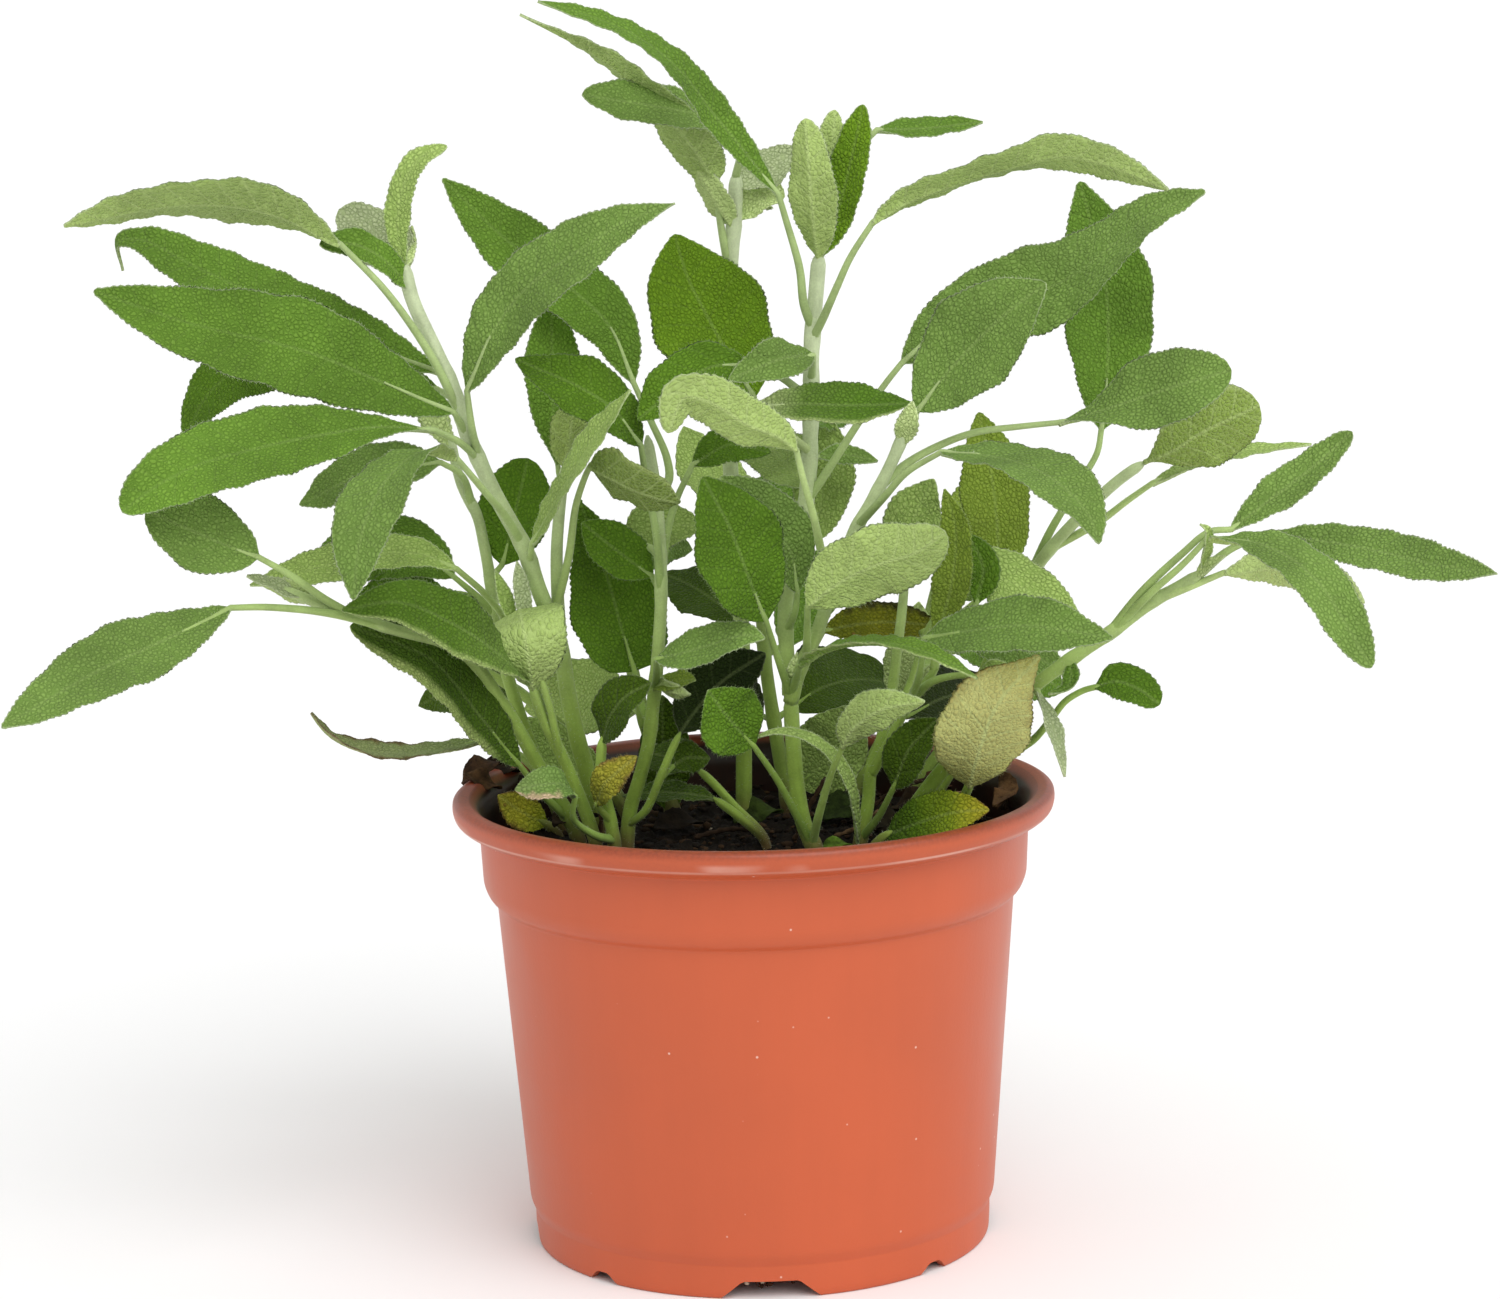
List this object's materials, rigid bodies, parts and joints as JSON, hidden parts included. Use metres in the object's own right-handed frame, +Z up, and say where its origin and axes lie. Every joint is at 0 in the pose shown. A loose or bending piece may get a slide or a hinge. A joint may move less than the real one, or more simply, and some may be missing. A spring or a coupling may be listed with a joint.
{
  "type": "potted sage",
  "caption": "Leafy culinary sage plant growing in dark soil in a round terracotta-orange plastic nursery pot with a rolled rim and a notched foot.",
  "frame": {"origin": "on the pot's axis, on the surface that the pot stands on, which is the bottom centre of the box", "axes": "+Z up along the pot's axis, -Y towards the front that the picture shows, +X to the right of that front"},
  "size_m": [0.2708, 0.151, 0.2475],
  "materials": {
    "pot": "satin moulded plastic, terracotta orange, a little dusty",
    "soil": "dark brown crumbly potting soil with a few white grains",
    "green_growth": "matt, hairy, finely pebbled sage leaves and pale green stems",
    "shaded_growth": "matt, darker sage leaves at the back and low down",
    "yellow_leaf": "matt pale yellow-green underside of an ageing leaf",
    "rim_leaf": "matt green leaf that turns yellow to its tip",
    "old_leaf": "matt olive ageing leaf"
  },
  "bodies": {
    "root": {"pot": "pot", "soil": "soil", "left_tall_stem": "green_growth", "left_low_stem": "green_growth", "left_inner_stem": "green_growth", "left_mid_stem": "green_growth", "left_front_stem": "green_growth", "front_left_stem": "green_growth", "centre_stem": "green_growth", "tall_back_stem": "green_growth", "right_centre_stem": "green_growth", "right_low_stem": "green_growth", "right_back_stem": "green_growth", "low_front_shoot": "green_growth", "yellow_leaf": "yellow_leaf", "rim_leaf": "rim_leaf", "old_leaf": "old_leaf", "back_left_stem": "shaded_growth", "back_middle_stem": "shaded_growth", "back_right_stem": "shaded_growth", "far_left_stem": "shaded_growth", "far_right_stem": "shaded_growth"}
  },
  "joints": []
}
